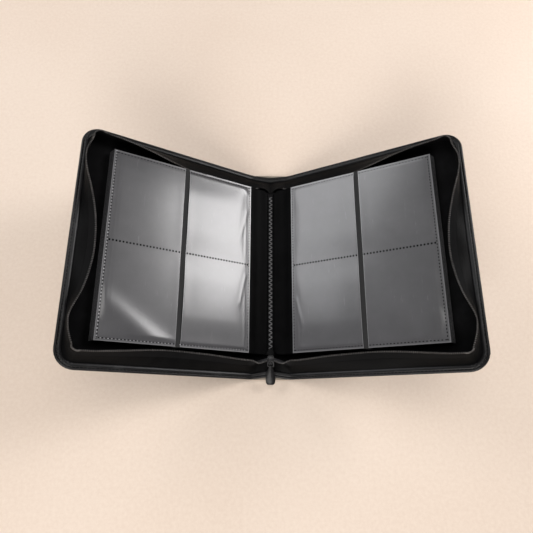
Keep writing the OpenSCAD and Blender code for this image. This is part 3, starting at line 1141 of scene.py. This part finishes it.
def foldHeight(s, y, folds):
    total = 0.0
    for (s0, y0), (s1, y1), width, height in folds:
        ds, dy = s1 - s0, y1 - y0
        long = ds * ds + dy * dy
        k = max(0.0, min(1.0, ((s - s0) * ds + (y - y0) * dy) / long))
        away = math.hypot(s - s0 - k * ds, y - y0 - k * dy)
        total += height * bell(away, 0, width) * smooth(k * 5 + 0.3) * smooth((1 - k) * 5 + 0.3)
    return total


def weldPlace(column):
    low, high, openEdge = column
    if openEdge == high:
        return low + leafMaking["innerWeldIn"]
    return high - leafMaking["edge"] - leafMaking["weldIn"]


def filmHeight(side, s, y, column, height, proud):
    # how far the film stands off the backing, with s from the root; proud only on a top leaf
    high, openEdge = column[1:]
    inner = openEdge == high
    fromWeld = (s - weldPlace(column)) * (1 if inner else -1)
    endRow = height / 2 - leafMaking["edge"] - leafMaking["weldIn"]
    fromRows = min(abs(y), endRow - abs(y))
    if fromWeld < 0 or fromRows < 0:
        return 0.03 * mm + (0.03 * mm * noise.noise(Vector((s * 300, y * 300, 0.2))) if proud else 0)
    if not proud:
        return 0.03 * mm + 0.07 * mm * smooth(fromWeld / (5 * mm)) * smooth(fromRows / (5 * mm))
    # it climbs evenly from the weld to a curved brow, and lies flat beyond
    rowShare = math.sin(math.pi * min(1.0, abs(y) / endRow)) ** 0.7
    wide = {"front": 13, "back": 6}[side] if inner else 4
    climb = fromWeld / ((4 + wide * rowShare) * mm)
    climb = climb if climb < 0.7 else 1 - 0.3 * math.exp(-(climb - 0.7) / 0.3)
    rise = {"front": 1.4, "back": 0.9}[side] * mm if inner else 0.3 * mm
    ends = smooth((endRow - abs(y)) / (2 * mm))
    belly = rise * climb * (0.5 + 0.5 * smooth(fromRows / (30 * mm))) * ends
    uneven = noise.noise(Vector((s * 17, y * 15, sides[side] * 2.0)))
    belly += 0.14 * mm * uneven * smooth(fromRows / (12 * mm)) * climb
    lip = 0.08 * mm * smooth(1 - abs(openEdge - s) / (9 * mm)) * smooth(fromRows / (14 * mm))
    ripples = 0.05 * mm * math.sin(fromWeld / mm * 1.7) * bell(fromWeld, 4 * mm, 4 * mm)
    ripples *= smooth(fromRows / (9 * mm))
    folds = foldHeight(s / mm, y / mm, filmFolds[side]) * mm * smooth(fromWeld / (2.5 * mm) + 0.1)
    return 0.06 * mm + belly + lip + ripples + folds * smooth(fromRows / (5 * mm))


def filmColumns(length):
    inner = leafMaking["margin"] - leafMaking["fold"]
    split = (length - leafMaking["reachOut"] - inner) / 2 + inner - 0.45 * leafMaking["bar"]
    return [(inner, split, split), (split + leafMaking["bar"], length, split + leafMaking["bar"])]


def leafFilm(side, n, place, face):
    # the clear film on one face of a leaf: two columns, each a thin closed sheet
    length, height = place["length"], place["height"]
    top = n == leafMaking["count"] and face > 0
    step = leafMaking["topGrid"] if top else leafMaking["lowGrid"]
    base = leafMaking["sheetT"] / 2 + 0.02 * mm
    points, faces, uvs, cut = [], [], [], []
    for column in filmColumns(length):
        low, high, openEdge = column
        inset = leafMaking["edge"]
        far = high - inset if openEdge == low else high
        ss = spread(low, far, step)
        if top:
            near = 0.35 * mm if openEdge == low else -0.35 * mm
            ss = sorted(ss + [openEdge + near])
        ys = spread(-height / 2 + inset, height / 2 - inset, step)
        first, rows, cols = len(points), len(ss), len(ys)
        for lift in (0.0, leafMaking["filmT"]):
            for s in ss:
                for y in ys:
                    h = filmHeight(side, s, y, column, height, top)
                    points.append(leafPoint(side, place, s, y, face * (base + h + lift)))
                    uvs.append((s, y))
                    # how much painted highlight each point gets for a cut edge: full along the open edge,
                    # fainter on the trimmed rim
                    welded = far if openEdge == low else low
                    rim = min(abs(s - welded), abs(s - low), height / 2 - inset - abs(y))
                    trimmedGlint = 0.3 if top else 0.05
                    cut.append(1.0 if abs(s - openEdge) < 0.3 * mm else trimmedGlint if rim < 0.2 * mm else 0.0)
        layer = rows * cols
        for i in range(rows - 1):
            for j in range(cols - 1):
                a = first + i * cols + j
                faces.append((a, a + 1, a + cols + 1, a + cols))
                faces.append((a + layer, a + layer + cols, a + layer + cols + 1, a + layer + 1))
        rim = [j for j in range(cols)] + [i * cols + cols - 1 for i in range(1, rows)]
        rim += [(rows - 1) * cols + j for j in reversed(range(cols - 1))]
        rim += [i * cols for i in reversed(range(1, rows - 1))]
        for a, b in zip(rim, rim[1:] + rim[:1]):
            faces.append((first + a, first + a + layer, first + b + layer, first + b))
    name = f"{side}_leaf_{n}_film_{'inner' if face > 0 else 'outer'}_face"
    piece = fromPoints(name, points, faces, "film", uvs, angle=60)
    attribute = piece.data.attributes.new("cutEdge", "FLOAT", "POINT")
    attribute.data.foreach_set("value", cut)
    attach(piece, f"{side}_leaf_{n}")
    width = (length - leafMaking["margin"] + leafMaking["fold"] - leafMaking["bar"])
    height - 2 * leafMaking["edge"]
    if face > 0:
        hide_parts(f"{side}_leaf_{n}_film")
    return piece


dashShape = barShape(1.0, 1.0, 1.0, 0.7)


def weldMarks(side, n, place):
    # the dotted welds round the pockets and across their middle, on the face that shows
    length, height = place["length"], place["height"]
    top = n == leafMaking["count"]
    endY = height / 2 - leafMaking["edge"] - leafMaking["weldIn"]
    pitch = leafMaking["dashPitch"]
    dashes, beads = [], []

    def mark(places, s, y, column, alongY, size):
        h = filmHeight(side, s, y, column, height, top)
        t = leafMaking["sheetT"] / 2 + h + leafMaking["filmT"] + 0.06 * mm
        here = leafPoint(side, place, s, y, t)
        alongS = (leafPoint(side, place, s + 0.1 * mm, y, t) - here).normalized()
        up = (leafPoint(side, place, s, y, t + 0.1 * mm) - here).normalized()
        along = Vector((0, 1, 0)) if alongY else alongS
        places.append((here, along * size[0], up.cross(along) * size[1], up * 0.2 * mm))

    for column in filmColumns(length):
        low, high, openEdge = column
        weldS = weldPlace(column)
        for y in spread(-endY, endY, pitch):
            mark(dashes, weldS, y, column, True, leafMaking["sideDash"])
            # on the front top leaf, pale beads between the dashes carry a painted highlight
            if side == "front" and top and openEdge == low:
                mark(beads, weldS + 0.5 * mm, y + pitch / 2, column, True, leafMaking["sideBead"])
        inner, outer = (weldS, openEdge) if openEdge == high else (openEdge, weldS)
        for y, dash in ((-endY, "sideDash"), (0.0, "middleDash"), (endY, "sideDash")):
            for s in spread(inner + 1.6 * mm, outer - 1.6 * mm, pitch):
                mark(dashes, s, y, column, False, leafMaking[dash])
                if y < 0 and side == "front" and top:
                    mark(beads, s + pitch / 2, y - 0.3 * mm, column, False, leafMaking["endBead"])
    for name, places, paint in (("welds", dashes, "weld"), ("weld_beads", beads, "bead")):
        if places:
            piece = strung(f"{side}_leaf_{n}_{name}", dashShape, places, paint)
            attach(piece, f"{side}_leaf_{n}")


for side in sides:
    for n in range(1, leafMaking["count"] + 1):
        place = leafPlace(side, n)
        leafSheet(side, n, place)
        for face in (1, -1):
            leafFilm(side, n, place, face)
        if n >= leafMaking["count"] - 1:
            weldMarks(side, n, place)
print("leaves made")


threadMaking = {
    "period": 4.92 * mm,
    "reach": 1.5 * mm,
    "radius": 0.55 * mm,
    "around": 8,
    "holeR": 0.8 * mm,
    "holeOut": 0.75 * mm,
    "holeDeep": 0.12 * mm,
    "holeLift": 0.02 * mm,
    "hump": 0.35 * mm,
    "steps": 8,
}


def bindingThread():
    low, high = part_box("binding_thread")
    bed = low.z - 0.05 * mm
    half = threadMaking["period"] / 2
    turns = round((high.y - low.y) / half)
    line = []
    for i in range(turns):
        for k in range(threadMaking["steps"]):
            f = k / threadMaking["steps"]
            swing = math.cos(math.pi * f)
            swing = math.copysign(abs(swing) ** 0.75, swing) * (1 if i % 2 else -1)
            y = low.y + (high.y - low.y) * (i + f) / turns
            hump = threadMaking["hump"] * math.sin(math.pi * f)
            lift = threadMaking["radius"] * 0.6 + hump
            line.append(Vector((swing * threadMaking["reach"], y, bed + lift)))
    rings, uvs, run = [], [], 0.0
    for i, here in enumerate(line):
        ahead, behind = line[min(i + 1, len(line) - 1)], line[max(i - 1, 0)]
        run += (here - behind).length if i else 0.0
        along = (ahead - behind).normalized()
        across = along.cross(Vector((0, 0, 1))).normalized()
        up = across.cross(along)
        ring, uv = [], []
        for k in range(threadMaking["around"]):
            a = math.tau * k / threadMaking["around"]
            ring.append(here + (across * math.cos(a) + up * math.sin(a)) * threadMaking["radius"])
            uv.append((run, k / threadMaking["around"]))
        rings.append(ring)
        uvs.append(uv)
    piece = loft("spine_zigzag_thread", rings, "thread", uvs, angle=70)
    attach(piece, "spine")
    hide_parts("binding_thread")
    return line, bed


def needleHoles(line, bed):
    # a dark disc where each turn of the thread goes in: painted shade standing in for its needle hole
    hole = startPiece("hole", bpy.ops.mesh.primitive_cylinder_add, vertices=12,
                      radius=threadMaking["holeR"], depth=threadMaking["holeDeep"])
    shape = takeShape(hole)
    places = []
    for spot in line[::threadMaking["steps"]]:
        out = math.copysign(threadMaking["reach"] + threadMaking["holeOut"], spot.x)
        at = Vector((out, spot.y, bed + threadMaking["holeLift"]))
        places.append((at, Vector((1, 0, 0)), Vector((0, 1, 0)), Vector((0, 0, 1))))
    piece = strung("spine_needle_holes", shape, places, "hole")
    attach(piece, "spine")


threadLine, foldBed = bindingThread()
needleHoles(threadLine, foldBed)
frame["nodes"]["leaf_binding_core"].data.materials.clear()
frame["nodes"]["leaf_binding_core"].data.materials.append(paints["core"])
for node in ("spine_board", "front_cover_board", "back_cover_board"):
    frame["nodes"][node].data.materials.clear()
    frame["nodes"][node].data.materials.append(paints["board"])
print("fold stitched")


pullMaking = {
    "plate": 1.25 * mm,
    "crownW": 7.2 * mm,
    "crownShift": 1.4 * mm,
    "wire": 0.62 * mm,
    "tabT": 2.3 * mm,
    "tabL": 21.5 * mm,
    # how wide the tab is down its length: (place in mm, share of the full width)
    "tabOutline": [(0, 0.4), (-1.6, 0.44), (-3.2, 0.52), (-8.0, 0.86), (-15.0, 1.14), (-19.4, 1.04),
                   (-21.5, 0.68)],
}
sliderLow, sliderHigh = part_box("zip_slider")
linkPin = Vector(joints["pull_link_swing"]["pos_m"])
tabPin = Vector(joints["pull_tab_swing"]["pos_m"])
pullDown = math.atan2(linkPin.z - tabPin.z, linkPin.y - tabPin.y)


def zipSlider():
    width, length = sliderHigh.x - sliderLow.x, sliderHigh.y - sliderLow.y
    middle = (sliderLow + sliderHigh) / 2
    bodyTop = linkPin.z - 1.35 * mm
    parts = []
    for z in (sliderLow.z + pullMaking["plate"] / 2, bodyTop - pullMaking["plate"] / 2):
        plate = startPiece("plate", bpy.ops.mesh.primitive_cube_add, size=1,
                           location=(middle.x, middle.y, z),
                           scale=(width * 0.9, length, pullMaking["plate"]))
        bpy.ops.object.transform_apply(location=True, rotation=True, scale=True)
        bpy.ops.object.mode_set(mode="EDIT")
        bpy.ops.mesh.select_all(action="SELECT")
        bpy.ops.mesh.bisect(plane_co=(0, middle.y + length * 0.15, 0), plane_no=(0, 1, 0))
        selectPoints(plate, lambda p: p.y > middle.y + length * 0.45)
        bpy.ops.transform.resize(value=(0.72, 1, 1), center_override=(middle.x, 0, 0))
        selectPoints(plate, lambda p: p.y < middle.y - length * 0.45)
        bpy.ops.transform.resize(value=(0.46, 1, 1), center_override=(middle.x, 0, 0))
        # the face that looks out is dished in a little, inside a raised rim
        outward = 1 if z > sliderLow.z + 2 * mm else -1
        selectFaces(plate, lambda c, n: n.z * outward > 0.9)
        bpy.ops.mesh.inset(thickness=0.75 * mm, depth=0)
        bpy.ops.transform.translate(value=(0, 0, -0.25 * mm * outward))
        softenEdges(plate, 0.28 * mm, 2)
        parts.append(plate)
    post = startPiece("post", bpy.ops.mesh.primitive_cylinder_add, vertices=20, radius=1.15 * mm,
                      depth=bodyTop - sliderLow.z - pullMaking["plate"],
                      location=(middle.x, middle.y + length * 0.3, (bodyTop + sliderLow.z) / 2))
    bpy.ops.object.transform_apply(location=True, rotation=True, scale=True)
    bpy.ops.object.mode_set(mode="EDIT")
    bpy.ops.mesh.select_all(action="SELECT")
    bpy.ops.transform.resize(value=(1, 1.5, 1), center_override=(middle.x, middle.y + length * 0.3, 0))
    bpy.ops.object.mode_set(mode="OBJECT")
    parts.append(post)
    # a faceted diamond stands over the body on two short feet, and the link hangs between them
    crownAt = middle.y + pullMaking["crownShift"]
    for y in (crownAt + 1.9 * mm, linkPin.y - 1.7 * mm):
        foot = startPiece("foot", bpy.ops.mesh.primitive_cube_add, size=1,
                          location=(middle.x, y, bodyTop + 0.9 * mm), scale=(1.9 * mm, 1.2 * mm, 2.6 * mm))
        bpy.ops.object.transform_apply(location=True, rotation=True, scale=True)
        softenEdges(foot, 0.2 * mm, 2)
        parts.append(foot)
    crown = startPiece("crown", bpy.ops.mesh.primitive_cone_add, vertices=4,
                       radius1=pullMaking["crownW"] / 2, radius2=pullMaking["crownW"] * 0.4, depth=1.2 * mm,
                       location=(middle.x, crownAt, bodyTop + 2.75 * mm))
    bpy.ops.object.transform_apply(location=True, rotation=True, scale=True)
    bpy.ops.object.mode_set(mode="EDIT")
    selectFaces(crown, lambda c, n: n.z < -0.9)
    bpy.ops.mesh.extrude_region_move(TRANSFORM_OT_translate={"value": (0, 0, -0.7 * mm)})
    bpy.ops.transform.resize(value=(0.75, 0.75, 1), center_override=(middle.x, crownAt, 0))
    # its near corner reaches down to the link
    selectPoints(crown, lambda p: p.y < crownAt - 1.6 * mm)
    bpy.ops.transform.translate(value=(0, -1.0 * mm, -0.5 * mm))
    softenEdges(crown, 0.2 * mm, 2)
    parts.append(crown)
    bpy.ops.object.select_all(action="DESELECT")
    for part in parts:
        part.select_set(True)
    bpy.context.view_layer.objects.active = parts[0]
    bpy.ops.object.join()
    slider = bpy.context.view_layer.objects.active
    slider.name = slider.data.name = "zip_slider_body"
    outwardFaces(slider)
    finishMesh(slider, "metal", 35)
    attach(slider, "spine")
    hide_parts("zip_slider")


def pullLink():
    # a wire loop from the slider's crown to the pull tab
    gap = boxSize("pull_link").x / 2 - 0.5 * mm
    down = tabPin - linkPin
    length = down.length
    along = down.normalized()
    lift = Vector((1, 0, 0)).cross(along)
    r = 1.2 * mm
    flat = []
    corners = ((gap - r, 0.0, -90), (gap - r, length, 0), (r - gap, length, 90), (r - gap, 0.0, 180))
    for cx, cy, start in corners:
        for k in range(5):
            a = math.radians(start + 90 * k / 4)
            flat.append((cx + r * math.cos(a), cy + r * math.sin(a)))
    low = min(y for x, y in flat)
    high = max(y for x, y in flat)
    line = [linkPin + Vector((x, 0, 0)) + along * ((y - low) / (high - low) * length) for x, y in flat]
    points, faces, uvs, around = [], [], [], 10
    for i, here in enumerate(line):
        ahead = (line[(i + 1) % len(line)] - line[i - 1]).normalized()
        side = ahead.cross(lift).normalized()
        for k in range(around):
            a = math.tau * k / around
            points.append(here + (side * math.cos(a) + lift * math.sin(a)) * pullMaking["wire"])
            uvs.append((i * mm, k / around))
    for i in range(len(line)):
        for k in range(around):
            a, b = i * around + k, i * around + (k + 1) % around
            c, d = (i + 1) % len(line) * around + (k + 1) % around, (i + 1) % len(line) * around + k
            faces.append((a, b, c, d))
    link = fromPoints("zip_pull_link", points, faces, "metal", uvs, angle=60)
    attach(link, "pull_link")
    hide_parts("pull_link")


def pullTab():
    # a long tapered tab with a ridge down its face and clipped corners below
    tabLow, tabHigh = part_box("pull_tab")
    width, thick = tabHigh.x - tabLow.x, pullMaking["tabT"]
    length = pullMaking["tabL"]
    tab = startPiece("zip_pull_tab", bpy.ops.mesh.primitive_cube_add, size=1,
                     location=(0, -length / 2, 0), scale=(width, length, thick))
    bpy.ops.object.transform_apply(location=True, rotation=True, scale=True)
    bpy.ops.object.mode_set(mode="EDIT")
    for y, share in pullMaking["tabOutline"][1:-1]:
        bpy.ops.mesh.select_all(action="SELECT")
        bpy.ops.mesh.bisect(plane_co=(0, y * mm, 0), plane_no=(0, 1, 0))
    for y, share in pullMaking["tabOutline"]:
        selectPoints(tab, lambda p: abs(p.y - y * mm) < 0.3 * mm)
        bpy.ops.transform.resize(value=(share, 1, 1), center_override=(0, 0, 0))
    bpy.ops.mesh.select_all(action="SELECT")
    bpy.ops.mesh.bisect(plane_co=(0, 0, 0), plane_no=(1, 0, 0))
    # the ridge rises along the middle, so the two halves slope away like facets
    selectPoints(tab, lambda p: abs(p.x) < 0.1 * mm and p.z > 0 and -19.5 * mm < p.y < -3 * mm)
    bpy.ops.transform.translate(value=(0, 0, 0.55 * mm))
    selectPoints(tab, lambda p: abs(p.x) < 0.1 * mm and p.z < 0 and -18.5 * mm < p.y < -3 * mm)
    bpy.ops.transform.translate(value=(0, 0, -0.2 * mm))
    selectPoints(tab, lambda p: abs(p.x) > 1.2 * mm and p.y < -3 * mm)
    bpy.ops.transform.resize(value=(1, 1, 0.72), center_override=(0, 0, 0))
    softenEdges(tab, 0.3 * mm, 2, 22)
    bpy.ops.object.mode_set(mode="EDIT")
    bpy.ops.mesh.select_all(action="SELECT")
    bpy.ops.transform.translate(value=(0, 1.3 * mm, 0))
    bpy.ops.object.mode_set(mode="OBJECT")
    tab.data.transform(Matrix.Translation(tabPin) @ Matrix.Rotation(pullDown, 4, "X"))
    outwardFaces(tab)
    finishMesh(tab, "pull", 30)
    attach(tab, "pull_tab")
    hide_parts("pull_tab")


zipSlider()
pullLink()
pullTab()
print("slider and pull made")


studio = {
    "floor": 6.0,
    "world": (0.85, 0.87, 0.92),
    "worldStrength": 0.06,
    "lens": 32.2784,
    "eye": (-0.01646, -0.16322, 0.52763),
    "turn": (17.81, -1.25, 0.58),
}
# name: (place, aimed at, width, height, watts, colour)
lights = {
    "rightSoftbox": ((0.99, 0.49, 0.67), (-0.06, 0.02, 0.05), 0.5, 0.46, 9, (1.0, 0.98, 0.98)),
    "leftSoftbox": ((-0.90, 0.72, 0.78), (0.08, 0.02, 0.05), 1.0, 0.5, 7, (0.98, 0.98, 1.0)),
    "overhead": ((0.0, 0.3, 1.7), (0.0, 0.0, 0.0), 1.4, 0.8, 8, (1.0, 0.98, 0.95)),
    "frontFill": ((-0.3, -1.5, 0.9), (0.0, 0.0, 0.0), 1.2, 0.8, 25, (1.0, 0.97, 0.94)),
}


def makeStudio():
    floor = startPiece("floor", bpy.ops.mesh.primitive_plane_add, size=studio["floor"], location=(0, 0, 0))
    floor.data.materials.append(paints["floor"])
    world = bpy.data.worlds.new("studio")
    bpy.context.scene.world = world
    world.use_nodes = True
    back = world.node_tree.nodes["Background"]
    back.inputs["Color"].default_value = (*studio["world"], 1)
    back.inputs["Strength"].default_value = studio["worldStrength"]
    for name, (place, aim, width, height, watts, colour) in lights.items():
        lamp = bpy.data.lights.new(name, "AREA")
        lamp.shape, lamp.size, lamp.size_y = "RECTANGLE", width, height
        lamp.energy, lamp.color = watts, colour
        holder = bpy.data.objects.new(name, lamp)
        bpy.context.scene.collection.objects.link(holder)
        holder.location = place
        holder.rotation_euler = (Vector(aim) - Vector(place)).to_track_quat("-Z", "Y").to_euler()


def makeCamera():
    data = bpy.data.cameras.new("camera")
    data.sensor_width = 36
    data.lens = studio["lens"]
    data.clip_start, data.clip_end = 0.01, 20
    camera = bpy.data.objects.new("camera", data)
    bpy.context.scene.collection.objects.link(camera)
    turn = Matrix.Identity(4)
    for angle, axis in zip(studio["turn"], "XYZ"):
        turn = turn @ Matrix.Rotation(math.radians(angle), 4, axis)
    camera.matrix_world = Matrix.Translation(studio["eye"]) @ turn
    bpy.context.scene.camera = camera
    bpy.context.scene.view_settings.view_transform = "Standard"


makeStudio()
makeCamera()
print("studio ready")
